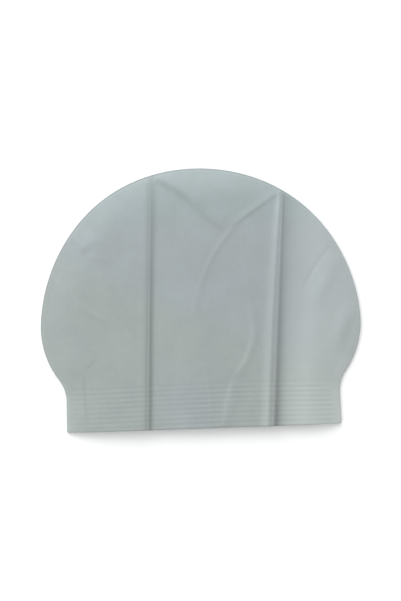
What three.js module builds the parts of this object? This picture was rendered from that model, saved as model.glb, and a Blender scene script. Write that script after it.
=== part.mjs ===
import * as THREE from "three";

// A moulded latex swim cap, lying flat on its back face as it comes out of its packet.
// It is one hollow skin: a round crown, cheeks that draw in through an S curve, and a ribbed
// band that ends in an open hem. Two fold creases run from the hem to the crown, and shallow
// ridges wander across the front. X runs across the cap, Y from the hem to the crown, and Z is
// up. The origin is under the middle of the cap, on the surface that it lies on. Millimetres.

// Outline, seen from above
const CAP_WIDTH = 220; // across the widest line
const CROWN_RISE = 107.1; // widest line to the top of the crown
const CHEEK_HEIGHT = 49.4; // neck to the widest line
const BAND_HEIGHT = 21.8; // hem to the neck
const CHEEK_INSET = 16; // how far the neck sits inside the widest line, each side
const CHEEK_SHARE = 0.71; // part of the S curve's two radii that belongs to the outer arc
const HEM_FLARE = 0.4; // how far the hem stands outside the neck, each side
const CROWN_EASE = 0.75; // how far the crown's outline departs from a true ellipse
const CROWN_LEAN = 1.3; // how far the crown's top leans to the left

// Skin
const WALL = 1.1; // latex skin
const EDGE_GAP = 1.2; // free height inside the folded edge
const SWELL = 5; // how much higher than its folded edge the front face lies
const SWELL_REACH = 11; // distance from the folded edge over which most of that is gained

// Ribs, raised on both faces and parallel to the hem
const RIB_COUNT = 8; // the bead of the cut hem reads as one more
const RIB_PITCH = 3.33;
const RIB_HEIGHT = 0.35;
const RIB_WIDTH = 2; // at the foot of a rib
const RIB_HEM_MARGIN = 3.35; // hem to the middle of the first rib, at the folded edges
const RIB_BOW = 1.75; // how much higher the ribs run where they are highest
const RIB_BOW_MIDDLE = 0.17; // where that is, as a share of half the width
const RIB_BOW_REACH = 1; // how far from there the bow has died away, a share of half the width
const RIB_BOW_EASE = 30; // length above the ribs over which the facets' rows straighten
const RIB_END_MARGIN = 4.5; // folded edge to the middle of a rib's run-out
const RIB_RUN_OUT = 3; // length over which a rib dies away at each end
const BACK_EASE = 14; // length above the ribs over which the back face settles down flat

// Fold creases
const CREASE_END = 16; // distance from the folded edge over which a crease dies away
const CREASE_COLUMN_REACH = 15; // furthest offset in a crease's section that gets a column

// Ridges of soft skin between the creases
const RIDGE_RISE = 0.9; // height of the boldest ridge
const RIDGE_REACH = 11; // reach of the broadest ridge, each side of its crest

// Spacing of the facets
const CROWN_ROWS = 26;
const CHEEK_ROWS = 8;
const INNER_CROWN_ROWS = 13;
const INNER_CHEEK_ROWS = 6;
const INNER_BAND_ROWS = 3;
const EDGE_COLUMNS = [0.2, 0.8, 1.8, 3, 6]; // distances in from the folded edge
const LEFT_PANEL_COLUMNS = 8;
const CENTRE_PANEL_COLUMNS = 13;
const RIGHT_PANEL_COLUMNS = 5;
const BACK_PANEL_COLUMNS = 6;
const RIDGE_STEPS = 14;
const EDGE_LOWER_STEPS = 40; // steps of the line that edge distances are measured from
const EDGE_CROWN_STEPS = 60;

// Shares that keep the columns in order where a row grows short under the crown's top
const VALLEY_LIMIT = 0.86; // of half the row: how far out a valley may lie
const CREASE_ROOM = 0.4; // of the room beside a valley: the most that its section takes
const EDGE_ROOM = 0.25; // of the room beside a crease: the most that the folded edge takes

// Where the creases run, and their sections. footX and headX are where the valley line meets
// the hem and the crown's top, shares of half the width. A section is a row of offsets right of
// that line, each with the height there, at the hem. headLeft, headRight and headRise are the
// section's width on each side and its height at the crown's top, as shares of those at the hem.
const CREASES = [
  {
    name: "left",
    footX: -0.34,
    headX: -0.271,
    headLeft: 0.4,
    headRight: 1.7,
    headRise: 0.7,
    section: [
      [-30, 0], [-9, 0.45], [-4.4, 0.6], [-1.8, 0.18], [0, -0.24],
      [1.6, -0.7], [3.4, -0.84], [10, -0.65], [30, 0],
    ],
  },
  {
    name: "right",
    footX: 0.4545,
    headX: 0.555,
    headLeft: 0.5,
    headRight: 1.1,
    headRise: 0.8,
    section: [
      [-15, 0], [-8.5, 0.8], [-6.8, 1.2], [-5.4, 1.1], [-2.4, 0.8],
      [0, -0.1], [2.6, -0.75], [10, -0.7], [24, 0.5],
    ],
  },
];

// Where the ridges run: a curve that leaves from, bends towards via and ends at to. X is a
// share of half the width and Y of the whole height. reach is a share of RIDGE_REACH, and rise
// of RIDGE_RISE.
const RIDGES = [
  { name: "V, left", from: [-0.24, 0.962], via: [-0.04, 0.87], to: [0.19, 0.75], reach: 0.65, rise: 1 },
  { name: "V, right", from: [0.55, 0.915], via: [0.35, 0.838], to: [0.17, 0.752], reach: 0.5, rise: 0.8 },
  { name: "long tail", from: [0.21, 0.76], via: [0.02, 0.66], to: [-0.05, 0.43], reach: 0.45, rise: 0.6 },
  { name: "bow", from: [0.27, 0.5], via: [0.43, 0.335], to: [0.175, 0.17], reach: 0.45, rise: 0.65 },
  { name: "bow, foot", from: [0.19, 0.19], via: [0.135, 0.1], to: [0.115, 0], reach: 0.5, rise: 0.5 },
  { name: "right, high", from: [0.92, 0.67], via: [0.78, 0.59], to: [0.68, 0.44], reach: 0.75, rise: 0.8 },
  { name: "right, low", from: [0.96, 0.46], via: [0.87, 0.4], to: [0.83, 0.26], reach: 0.8, rise: 0.7 },
  { name: "facet, side", from: [-0.84, 0.785], via: [-0.77, 0.74], to: [-0.69, 0.67], reach: 0.8, rise: 0.7 },
  { name: "facet, top", from: [-0.7, 0.68], via: [-0.6, 0.77], to: [-0.44, 0.87], reach: 1, rise: 0.5 },
  { name: "streak", from: [-0.8, 0.505], via: [-0.68, 0.45], to: [-0.55, 0.41], reach: 0.6, rise: 0.5 },
  { name: "left foot", from: [-0.735, 0.235], via: [-0.735, 0.14], to: [-0.71, 0.02], reach: 0.5, rise: 0.45 },
];

// Sizes that follow
const HALF_WIDTH = CAP_WIDTH / 2;
const WIDEST_Y = BAND_HEIGHT + CHEEK_HEIGHT;
const HEIGHT = WIDEST_Y + CROWN_RISE;
const NECK_HALF = HALF_WIDTH - CHEEK_INSET;
const OGEE_RADII = (CHEEK_INSET ** 2 + CHEEK_HEIGHT ** 2) / (2 * CHEEK_INSET);
const CHEEK_RADIUS = OGEE_RADII * CHEEK_SHARE;
const NECK_RADIUS = OGEE_RADII - CHEEK_RADIUS;
const EDGE_RADIUS = EDGE_GAP / 2 + WALL;
const RIB_TOP_Y = RIB_HEM_MARGIN + (RIB_COUNT - 1) * RIB_PITCH + RIB_WIDTH / 2;

const mix = (a, b, share) => a + (b - a) * share;
const clamp = (value, low, high) => Math.min(high, Math.max(low, value));
const smooth = (share) => {
  const s = clamp(share, 0, 1);
  return s * s * (3 - 2 * s);
};

// A row across the cap below the widest line, at height y over the hem. inset is the distance
// inside the outer skin: 0 for the outer skin and WALL for the inner one.
function lowerRow(y, inset) {
  const turnY = WIDEST_Y - ((CHEEK_RADIUS - inset) * CHEEK_HEIGHT) / OGEE_RADII;
  let half;
  if (y <= BAND_HEIGHT) {
    half = NECK_HALF - inset + HEM_FLARE * (1 - y / BAND_HEIGHT);
  } else if (y < turnY) {
    half = NECK_HALF + NECK_RADIUS - Math.sqrt((NECK_RADIUS + inset) ** 2 - (y - BAND_HEIGHT) ** 2);
  } else {
    half = HALF_WIDTH - CHEEK_RADIUS + Math.sqrt((CHEEK_RADIUS - inset) ** 2 - (WIDEST_Y - y) ** 2);
  }
  return { y, half, middle: 0, slant: 1 };
}

// A row of the crown, where the outline has turned through angle from the widest line.
function crownRow(angle, inset) {
  return {
    y: WIDEST_Y + (CROWN_RISE - inset) * Math.sin(angle),
    half: (HALF_WIDTH - inset) * Math.cos(angle) - CROWN_EASE * Math.sin(4 * angle),
    middle: -CROWN_LEAN * Math.sin(angle) ** 4,
    slant: 1 / Math.cos(angle),
  };
}

// The outer skin's rows, from the hem up: a foot, a crest and a foot for each rib, then the
// cheeks and the crown. The topmost point of the crown is added by the skin itself.
function outerRows() {
  const rows = [lowerRow(0, 0)];
  for (let rib = 0; rib < RIB_COUNT; rib += 1) {
    const crestY = RIB_HEM_MARGIN + rib * RIB_PITCH;
    for (const step of [-0.5, 0, 0.5]) rows.push(lowerRow(crestY + step * RIB_WIDTH, 0));
  }
  for (let i = 1; i < CHEEK_ROWS; i += 1) rows.push(lowerRow(mix(RIB_TOP_Y, WIDEST_Y, i / CHEEK_ROWS), 0));
  for (let i = 0; i < CROWN_ROWS; i += 1) rows.push(crownRow((i / CROWN_ROWS) * (Math.PI / 2), 0));
  return rows;
}

function innerRows() {
  const rows = [];
  for (let i = 0; i < INNER_BAND_ROWS; i += 1) rows.push(lowerRow((RIB_TOP_Y * i) / INNER_BAND_ROWS, WALL));
  for (let i = 0; i < INNER_CHEEK_ROWS; i += 1) {
    rows.push(lowerRow(mix(RIB_TOP_Y, WIDEST_Y, i / INNER_CHEEK_ROWS), WALL));
  }
  for (let i = 0; i < INNER_CROWN_ROWS; i += 1) {
    rows.push(crownRow((i / INNER_CROWN_ROWS) * (Math.PI / 2), WALL));
  }
  return rows;
}

// The folded edge as a line of points: up one side from the hem, over the crown and down.
function foldedEdge() {
  const side = [];
  for (let i = 0; i < EDGE_LOWER_STEPS; i += 1) side.push(lowerRow((WIDEST_Y * i) / EDGE_LOWER_STEPS, 0));
  for (let i = 0; i < EDGE_CROWN_STEPS; i += 1) {
    side.push(crownRow((i / EDGE_CROWN_STEPS) * (Math.PI / 2), 0));
  }
  const right = side.map((row) => [row.middle + row.half, row.y]);
  const left = side.map((row) => [row.middle - row.half, row.y]).reverse();
  return [...right, [-CROWN_LEAN, HEIGHT], ...left];
}

// The nearest place on a line of points: its distance, and its share of the way along.
function nearestOn(line, x, y) {
  let distance = Infinity;
  let along = 0;
  for (let i = 1; i < line.length; i += 1) {
    const [ax, ay] = line[i - 1];
    const [bx, by] = line[i];
    const [dx, dy] = [bx - ax, by - ay];
    const share = clamp(((x - ax) * dx + (y - ay) * dy) / (dx * dx + dy * dy), 0, 1);
    const reach = Math.hypot(x - ax - share * dx, y - ay - share * dy);
    if (reach < distance) {
      distance = reach;
      along = (i - 1 + share) / (line.length - 1);
    }
  }
  return { distance, along };
}

const EDGE_LINE = foldedEdge();
const edgeDistance = (x, y) => nearestOn(EDGE_LINE, x, y).distance;

const RIDGE_LINES = RIDGES.map((ridge) => {
  const curve = new THREE.QuadraticBezierCurve(
    ...[ridge.from, ridge.via, ridge.to].map(([x, y]) => new THREE.Vector2(x * HALF_WIDTH, y * HEIGHT)),
  );
  return { ...ridge, line: curve.getPoints(RIDGE_STEPS).map((point) => [point.x, point.y]) };
});

// A crease at height y over the hem: the x of its valley line, and its section's scales.
function creaseAt(crease, y) {
  const share = y / HEIGHT;
  return {
    valley: mix(crease.footX, crease.headX, share) * HALF_WIDTH,
    left: mix(1, crease.headLeft, share),
    right: mix(1, crease.headRight, share),
    rise: mix(1, crease.headRise, share),
  };
}

// The height that a crease adds to the front face, straight between its section's points.
function creaseHeight(crease, x, y) {
  const { valley, left, right, rise } = creaseAt(crease, y);
  const offset = (x - valley) / (x < valley ? left : right);
  const next = crease.section.findIndex(([place]) => place >= offset);
  if (next === 0) return rise * crease.section[0][1];
  if (next < 0) return rise * crease.section.at(-1)[1];
  const [[place, height], [nextPlace, nextHeight]] = crease.section.slice(next - 1, next + 1);
  return rise * mix(height, nextHeight, (offset - place) / (nextPlace - place));
}

// The height that a ridge adds: a round-topped wave that dies away at both ends.
function ridgeHeight(ridge, x, y) {
  const { distance, along } = nearestOn(ridge.line, x, y);
  const across = clamp(distance / (ridge.reach * RIDGE_REACH), 0, 1);
  const ends = Math.sqrt(Math.max(Math.sin(Math.PI * along), 0));
  return ridge.rise * RIDGE_RISE * ends * (0.5 + 0.5 * Math.cos(Math.PI * across));
}

// The height of a rib over the skin between the ribs.
function ribHeight(y, inward) {
  const rib = clamp(Math.round((y - RIB_HEM_MARGIN) / RIB_PITCH), 0, RIB_COUNT - 1);
  const across = Math.abs(y - RIB_HEM_MARGIN - rib * RIB_PITCH) / (RIB_WIDTH / 2);
  const runOut = smooth((inward - RIB_END_MARGIN) / RIB_RUN_OUT + 0.5);
  return RIB_HEIGHT * runOut * clamp(1 - across, 0, 1);
}

// How much higher than at the folded edges a row of the band runs at x. The bow sets in between
// the hem and the first rib.
function ribBow(x, y) {
  const across = smooth(1 - Math.abs(x / HALF_WIDTH - RIB_BOW_MIDDLE) / RIB_BOW_REACH);
  const setIn = smooth(y / (RIB_HEM_MARGIN - RIB_WIDTH / 2));
  return RIB_BOW * across * setIn * smooth(1 - (y - RIB_TOP_Y) / RIB_BOW_EASE);
}

// How far the back face stands off the surface: the ribs carry it, and it settles above them.
const backLift = (y) => RIB_HEIGHT * smooth(1 - (y - RIB_TOP_Y) / BACK_EASE);

// How far a face has turned away from the folded edge's middle, for a fold of this radius.
const foldTurn = (inward, radius) => (inward >= radius ? radius : Math.sqrt(inward * (2 * radius - inward)));

// The height of a face over the surface. rowY is y before the row was bowed, and inset is 0 on
// the outer skin and WALL on the inner.
function faceHeight(face, x, y, rowY, inset, onEdge) {
  if (onEdge) return EDGE_RADIUS;
  const inward = edgeDistance(x, y);
  const radius = EDGE_RADIUS - inset;
  const turn = foldTurn(Math.max(inward - inset, 0), radius);
  if (face === "back") {
    const rib = inset ? 0 : ribHeight(rowY, inward);
    return EDGE_RADIUS - turn + (backLift(rowY) - rib) * (turn / radius);
  }
  const swell = SWELL * (1 - Math.exp(-inward / SWELL_REACH));
  const atEdge = smooth(inward / CREASE_END);
  const creases = CREASES.reduce((sum, crease) => sum + creaseHeight(crease, x, y), 0);
  const height = EDGE_RADIUS + turn + swell + atEdge * creases;
  if (inset) return height;
  const ridges = RIDGE_LINES.reduce((sum, ridge) => sum + ridgeHeight(ridge, x, y), 0);
  return height + atEdge * ridges + ribHeight(rowY, inward);
}

// The stretch between two columns, as count steps that leave out both ends.
function between(from, to, count) {
  return Array.from({ length: count }, (_, i) => mix(from, to, (i + 1) / (count + 1)));
}

// The columns that follow a crease, at the near points of its section. They close up where the
// room left or right of the valley is short.
function creaseColumns(crease, at, leftRoom, rightRoom) {
  const near = ([offset]) => Math.abs(offset) <= CREASE_COLUMN_REACH;
  const offsets = crease.section.filter(near).map(([offset]) => offset);
  const left = Math.min(at.left, (CREASE_ROOM * leftRoom) / -offsets[0]);
  const right = Math.min(at.right, (CREASE_ROOM * rightRoom) / offsets.at(-1));
  return offsets.map((offset) => at.valley + offset * (offset < 0 ? left : right));
}

// The front face's columns in a row, left to right. They follow the folded edges and both
// creases, and close up evenly where the row grows short under the crown's top.
function frontColumns(row) {
  const limit = VALLEY_LIMIT * row.half;
  const [left, right] = CREASES.map((crease) => {
    const at = creaseAt(crease, row.y);
    return { ...at, valley: clamp(at.valley, -limit, limit) };
  });
  const leftRoom = row.half + left.valley;
  const rightRoom = row.half - right.valley;
  const centreRoom = right.valley - left.valley;
  const leftCrease = creaseColumns(CREASES[0], left, leftRoom, centreRoom);
  const rightCrease = creaseColumns(CREASES[1], right, centreRoom, rightRoom);
  const edgeScale = Math.min(row.slant, (EDGE_ROOM * Math.min(leftRoom, rightRoom)) / EDGE_COLUMNS.at(-1));
  const edges = EDGE_COLUMNS.map((distance) => distance * edgeScale);
  const leftEdges = edges.map((distance) => distance - row.half);
  const rightEdges = edges.map((distance) => row.half - distance).reverse();
  return [
    -row.half,
    ...leftEdges,
    ...between(leftEdges.at(-1), leftCrease[0], LEFT_PANEL_COLUMNS),
    ...leftCrease,
    ...between(leftCrease.at(-1), rightCrease[0], CENTRE_PANEL_COLUMNS),
    ...rightCrease,
    ...between(rightCrease.at(-1), rightEdges[0], RIGHT_PANEL_COLUMNS),
    ...rightEdges,
    row.half,
  ];
}

// The back face's columns in a row, right to left and without the folded edges themselves.
function backColumns(row) {
  const edgeScale = Math.min(row.slant, (EDGE_ROOM * row.half) / EDGE_COLUMNS.at(-1));
  const edges = EDGE_COLUMNS.map((distance) => row.half - distance * edgeScale);
  const inner = edges.at(-1);
  return [...edges, ...between(inner, -inner, BACK_PANEL_COLUMNS), ...edges.map((x) => -x).reverse()];
}

// One loop of points round a row: across the front, then back underneath.
function loopOf(row, inset) {
  const front = frontColumns(row);
  const last = front.length - 1;
  const point = (face, offset, onEdge) => {
    const x = row.middle + offset;
    const y = row.y + (inset ? 0 : ribBow(x, row.y));
    return [x, y, faceHeight(face, x, y, row.y, inset, onEdge)];
  };
  return [
    ...front.map((offset, i) => point("front", offset, i === 0 || i === last)),
    ...backColumns(row).map((offset) => point("back", offset, false)),
  ];
}

const apart = (a, b) => Math.hypot(a[0] - b[0], a[1] - b[1], a[2] - b[2]);

// Two triangles over four corners, split along the shorter diagonal.
function quad(a, b, c, d) {
  return apart(a, c) <= apart(b, d) ? [a, b, c, a, c, d] : [a, b, d, b, c, d];
}

// Triangles between two loops, the second one further from the hem.
function strip(lower, upper) {
  return lower.flatMap((corner, i) => {
    const next = (i + 1) % lower.length;
    return quad(corner, lower[next], upper[next], upper[i]);
  });
}

// Triangles of a whole skin, from its first loop to the point at the crown's top.
function skin(loops, top) {
  const sides = loops.slice(1).flatMap((loop, i) => strip(loops[i], loop));
  const last = loops.at(-1);
  const lid = last.flatMap((corner, i) => [corner, last[(i + 1) % last.length], top]);
  return [...sides, ...lid];
}

// The cap's one solid: the outer skin, the inner skin turned inwards, and the cut hem.
function capShell() {
  const outer = outerRows().map((row) => loopOf(row, 0));
  const inner = innerRows().map((row) => loopOf(row, WALL));
  const outerSkin = skin(outer, [-CROWN_LEAN, HEIGHT, EDGE_RADIUS]);
  const innerSkin = skin(inner, [-CROWN_LEAN, HEIGHT - WALL, EDGE_RADIUS]).reverse();
  const hem = strip(inner[0], outer[0]);
  const corners = [...outerSkin, ...innerSkin, ...hem];
  const geometry = new THREE.BufferGeometry();
  geometry.setAttribute("position", new THREE.Float32BufferAttribute(corners.flat(), 3));
  geometry.translate(0, -HEIGHT / 2, 0);
  geometry.computeVertexNormals();
  return geometry;
}

const latex = new THREE.MeshStandardMaterial({ color: 0xa6b1b1, roughness: 0.55, metalness: 0 });

const cap = new THREE.Group();
const shell = new THREE.Mesh(capShell(), latex);
shell.name = "cap_shell";
cap.add(shell);

export default cap;
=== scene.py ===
"""A moulded latex swim cap, lying flat on its back face under soft studio light.

The cap is one thin skin. Its outline follows a few arcs and an ellipse, two packing folds run
from the hem to the crown, softer folds wander across the front, and nine fine ribs circle the
band above the open hem. Painted reflection tints turn the grey latex teal at the crown, bluer in
the middle and greener at the lower left; painted light brightens its right side and crown top,
and painted shade darkens its folds and its folded edge on the upper left. Lengths inside the
classes are millimetres, with x across the cap, y up from the hem and z up from the floor. Meshes
are written in metres, in the part's own frame.
"""

import logging
import math
from dataclasses import dataclass, field
from enum import Enum

import bpy
import numpy as np
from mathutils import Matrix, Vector

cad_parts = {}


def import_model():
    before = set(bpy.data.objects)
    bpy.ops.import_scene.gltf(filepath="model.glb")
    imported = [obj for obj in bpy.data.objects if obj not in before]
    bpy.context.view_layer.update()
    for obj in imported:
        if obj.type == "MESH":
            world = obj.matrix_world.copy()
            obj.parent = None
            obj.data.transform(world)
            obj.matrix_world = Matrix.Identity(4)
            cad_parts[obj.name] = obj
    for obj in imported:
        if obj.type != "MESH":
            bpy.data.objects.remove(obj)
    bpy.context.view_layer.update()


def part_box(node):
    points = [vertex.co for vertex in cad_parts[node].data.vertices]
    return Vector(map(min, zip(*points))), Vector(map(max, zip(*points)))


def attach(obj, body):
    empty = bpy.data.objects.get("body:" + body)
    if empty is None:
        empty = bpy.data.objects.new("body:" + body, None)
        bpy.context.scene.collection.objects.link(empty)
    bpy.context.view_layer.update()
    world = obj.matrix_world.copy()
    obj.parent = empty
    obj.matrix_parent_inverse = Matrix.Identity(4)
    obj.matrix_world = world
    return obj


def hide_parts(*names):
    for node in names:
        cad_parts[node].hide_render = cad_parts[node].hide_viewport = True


MM = 0.001
CAP_NODE = "cap_shell"
BODY = "root"
# How many points each stretch of the outline and the line of a soft fold are read at.
EDGE_POINTS = 90
LINE_POINTS = 25
# What the skin's mesh stores on its points, for the ribs' tree and for the latex.
POINT_VALUES = ("hem_rise", "rib_reach", "painted_shade_and_dull_patches", "pale_tone_and_painted_light", "cool_zone", "crown_zone")

log = logging.getLogger("swim_cap")


def smooth(share: np.ndarray) -> np.ndarray:
    """Ease a share from 0 to 1 with level ends.

    Args:
        share: Any values; those outside 0 to 1 count as the nearer end.

    Returns:
        The eased values.
    """
    s = np.clip(share, 0.0, 1.0)
    return s * s * (3.0 - 2.0 * s)


def bell(offset: np.ndarray, width: float) -> np.ndarray:
    """Return a round bump of height 1 that has mostly died away at one width."""
    return np.exp(-((offset / width) ** 2))


def curve_through(knots: tuple[tuple[float, float], ...], at: np.ndarray) -> np.ndarray:
    """Read a smooth curve that passes through a few knots.

    Args:
        knots: Pairs of place and value, in rising order of place.
        at: Places to read; those past an end take the end's value.

    Returns:
        The values at those places.
    """
    places, values = (np.array(column, dtype=float) for column in zip(*knots))
    slopes = np.gradient(values, places)
    slopes[[0, -1]] = 0.0
    inside = np.clip(at, places[0], places[-1])
    i = np.clip(np.searchsorted(places, inside, side="right") - 1, 0, len(places) - 2)
    span = places[i + 1] - places[i]
    t = (inside - places[i]) / span
    rise = values[i + 1] - values[i]
    bend = t * (1 - t) * ((1 - t) * (slopes[i] * span - rise) + t * (rise - slopes[i + 1] * span))
    return values[i] + t * rise + bend


@dataclass(frozen=True)
class Row:
    """One row of points across the cap.

    Attributes:
        y: Height over the hem.
        half: Half the row's length.
        middle: Where the row's middle lies, left or right of the cap's own.
        slant: How much longer a step along the row is than the same step square to the edge.
    """

    y: float
    half: float
    middle: float = 0.0
    slant: float = 1.0


@dataclass(frozen=True)
class CapOutline:
    """The cap's outline from above: a straight band, S-shaped cheeks and a round crown.

    Attributes:
        width: Across the widest line.
        height: From the hem to the top of the crown.
        cheek_height: From the neck to the widest line.
        band_height: From the hem to the neck.
        cheek_inset: How far the neck sits inside the widest line, each side.
        cheek_share: Part of the S curve's two radii that belongs to the outer arc.
        hem_flare: How far the hem stands outside the neck, each side.
        crown_ease: How far the crown departs from a true ellipse.
        crown_lean: How far the crown's top leans to the left.
    """

    width: float
    height: float
    cheek_height: float = 49.4
    band_height: float = 21.8
    cheek_inset: float = 16.0
    cheek_share: float = 0.71
    hem_flare: float = 0.4
    crown_ease: float = 0.75
    crown_lean: float = 1.3

    @property
    def widest_y(self) -> float:
        """Height of the widest line over the hem."""
        return self.band_height + self.cheek_height

    def lower_row(self, y: float, inset: float) -> Row:
        """Make a row below the widest line.

        Args:
            y: Height over the hem.
            inset: Distance inside the outer skin.

        Returns:
            The row.
        """
        half_width = self.width / 2
        neck = half_width - self.cheek_inset
        radii = (self.cheek_inset**2 + self.cheek_height**2) / (2 * self.cheek_inset)
        outer = radii * self.cheek_share
        inner = radii - outer
        turn_y = self.widest_y - (outer - inset) * self.cheek_height / radii
        if y <= self.band_height:
            return Row(y, neck - inset + self.hem_flare * (1 - y / self.band_height))
        if y < turn_y:
            return Row(y, neck + inner - math.sqrt((inner + inset) ** 2 - (y - self.band_height) ** 2))
        return Row(y, half_width - outer + math.sqrt((outer - inset) ** 2 - (self.widest_y - y) ** 2))

    def crown_row(self, angle: float, inset: float) -> Row:
        """Make a row of the crown.

        Args:
            angle: How far the outline has turned from the widest line, in radians.
            inset: Distance inside the outer skin.

        Returns:
            The row.
        """
        rise = self.height - self.widest_y
        return Row(
            self.widest_y + (rise - inset) * math.sin(angle),
            (self.width / 2 - inset) * math.cos(angle) - self.crown_ease * math.sin(4 * angle),
            -self.crown_lean * math.sin(angle) ** 4,
            1 / math.cos(angle),
        )

    def edge_line(self) -> np.ndarray:
        """Return the closed edge as points: up one side, over the crown and down the other."""
        steps = [i / EDGE_POINTS for i in range(EDGE_POINTS)]
        lower = [self.lower_row(self.widest_y * step, 0.0) for step in steps]
        crown = [self.crown_row(math.pi / 2 * step, 0.0) for step in steps]
        right = [(row.middle + row.half, row.y) for row in lower + crown]
        left = [(row.middle - row.half, row.y) for row in lower + crown]
        return np.array([*right, (-self.crown_lean, self.height), *reversed(left)])


def nearest_on(line: np.ndarray, x: np.ndarray, y: np.ndarray) -> tuple[np.ndarray, np.ndarray, np.ndarray]:
    """Find the nearest place on a line of points.

    Args:
        line: The line's points, one row each.
        x: Places across the cap.
        y: Heights over the hem.

    Returns:
        The distance, the share of the way along, and the side: 1 on the left of the way the line
        runs and -1 on its right.
    """
    best = np.full(x.shape, np.inf)
    along = np.zeros(x.shape)
    side = np.ones(x.shape)
    for i, (start, end) in enumerate(zip(line[:-1], line[1:])):
        step = end - start
        share = np.clip(((x - start[0]) * step[0] + (y - start[1]) * step[1]) / (step @ step), 0, 1)
        away_x = x - start[0] - share * step[0]
        away_y = y - start[1] - share * step[1]
        reach = np.hypot(away_x, away_y)
        closer = reach < best
        best = np.where(closer, reach, best)
        along = np.where(closer, (i + share) / (len(line) - 1), along)
        side = np.where(closer, np.where(step[0] * away_y - step[1] * away_x >= 0, 1.0, -1.0), side)
    return best, along, side


@dataclass(frozen=True)
class PackingFold:
    """A sharp fold left by the packet, from the hem to the crown.

    Attributes:
        name: What the fold is called in the log.
        foot_x: Where its valley meets the hem.
        head_x: Where its valley would meet the top of the crown.
        section: The fold's section at the hem: offset right of the valley, and height.
        head_left: The section's width left of the valley at the crown, as a share of the hem's.
        head_right: The same, right of the valley.
        head_rise: The section's height at the crown, as a share of the hem's.
        marks: Painted shade along the crease at the hem: offset right of the valley, and share.
        head_mark: That painted shade at the crown, as a share of the hem's.
        mark_power: How early it fades: below 1 mostly near the hem, above 1 mostly near the crown.
    """

    name: str
    foot_x: float
    head_x: float
    section: tuple[tuple[float, float], ...]
    head_left: float
    head_right: float
    head_rise: float
    marks: tuple[tuple[float, float], ...]
    head_mark: float
    mark_power: float = 1.0

    def offset(self, x: np.ndarray, y: np.ndarray, height: float) -> np.ndarray:
        """Measure how far places lie from the valley, in widths of the section at the hem.

        Args:
            x: Places across the cap.
            y: Heights over the hem.
            height: The cap's whole height.

        Returns:
            The offsets, negative on the left.
        """
        share = y / height
        away = x - (self.foot_x + (self.head_x - self.foot_x) * share)
        left = 1 + (self.head_left - 1) * share**3
        right = 1 + (self.head_right - 1) * share**3
        return np.where(away < 0, away / left, away / right)

    def lift(self, x: np.ndarray, y: np.ndarray, height: float) -> np.ndarray:
        """Return the height that the fold adds to the front face.

        Args:
            x: Places across the cap.
            y: Heights over the hem.
            height: The cap's whole height.

        Returns:
            The heights.
        """
        rise = 1 + (self.head_rise - 1) * y / height
        return rise * curve_through(self.section, self.offset(x, y, height))

    def shade(self, x: np.ndarray, y: np.ndarray, height: float) -> np.ndarray:
        """Return the painted shade along the fold's crease, from 0 to 1."""
        fade = 1 + (self.head_mark - 1) * (y / height) ** self.mark_power
        return fade * curve_through(self.marks, self.offset(x, y, height))


@dataclass(frozen=True)
class SoftFold:
    """A shallow fold of soft latex along a bent line, steep on one side if its reaches differ.

    Attributes:
        name: What the fold is called in the log.
        start: Where the line starts, as shares of half the width and of the height.
        via: What it bends towards.
        end: Where it ends.
        rise: Height of the crest.
        left: Reach of the slope on the left of the way it runs.
        right: Reach of the slope on the right.
        fade_in: Share of the length over which the fold gains its height.
        fade_out: Share of the length over which it loses it.
        crisp: How sharp the crest is, from 0 for round to 1.
        mark: How strongly the line's colour is darkened, mostly as painted shade; below 0 it is lightened.
        mark_reach: Distance over which that darkening dies away.
    """

    name: str
    start: tuple[float, float]
    via: tuple[float, float]
    end: tuple[float, float]
    rise: float
    left: float
    right: float
    fade_in: float = 0.25
    fade_out: float = 0.25
    crisp: float = 0.0
    mark: float = 0.0
    mark_reach: float = 1.2

    def nearest(self, x: np.ndarray, y: np.ndarray, half_width: float,
                height: float) -> tuple[np.ndarray, ...]:
        """Find the nearest place on the fold's line.

        Args:
            x: Places across the cap.
            y: Heights over the hem.
            half_width: Half the cap's width.
            height: The cap's whole height.

        Returns:
            The distance, the side, and how fully the fold stands there, from 0 to 1.
        """
        scale = np.array([half_width, height])
        start, via, end = (np.array(point) * scale for point in (self.start, self.via, self.end))
        t = np.linspace(0, 1, LINE_POINTS)[:, None]
        line = (1 - t) ** 2 * start + 2 * t * (1 - t) * via + t**2 * end
        distance, along, side = nearest_on(line, x, y)
        return distance, side, smooth(along / self.fade_in) * smooth((1 - along) / self.fade_out)

    def lift(self, x: np.ndarray, y: np.ndarray, half_width: float, height: float) -> np.ndarray:
        """Return the height that the fold adds to the front face.

        Args:
            x: Places across the cap.
            y: Heights over the hem.
            half_width: Half the cap's width.
            height: The cap's whole height.

        Returns:
            The heights.
        """
        distance, side, ends = self.nearest(x, y, half_width, height)
        across = np.clip(distance / np.where(side > 0, self.left, self.right), 0, 1)
        rounded = 0.5 + 0.5 * np.cos(np.pi * across)
        return self.rise * ends * (rounded + self.crisp * ((1 - across) ** 2 - rounded))

    def shade(self, x: np.ndarray, y: np.ndarray, half_width: float, height: float) -> np.ndarray:
        """Return how strongly the colour is darkened along the fold, mostly as painted shade.

        Args:
            x: Places across the cap.
            y: Heights over the hem.
            half_width: Half the cap's width.
            height: The cap's whole height.

        Returns:
            The darkening, up to 1; below 0 the colour is lightened.
        """
        distance, _, ends = self.nearest(x, y, half_width, height)
        return self.mark * ends * bell(distance, self.mark_reach)


def shaded_line(name: str, start: tuple[float, float], via: tuple[float, float], end: tuple[float, float],
                fades: tuple[float, float], mark: float, reach: float) -> SoftFold:
    """Make a line that raises nothing: painted shade, painted light, or a duller or paler patch.

    Args:
        name: What it is called.
        start: Where the line starts, as shares of half the width and of the height.
        via: What it bends towards.
        end: Where it ends.
        fades: Shares of the length over which it comes and goes.
        mark: How strongly the colour is darkened; below 0 it is lightened.
        reach: Distance over which that dies away.

    Returns:
        The line, as a fold without height.
    """
    return SoftFold(name, start, via, end, 0.0, reach, reach, *fades, mark=mark, mark_reach=reach)


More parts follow.
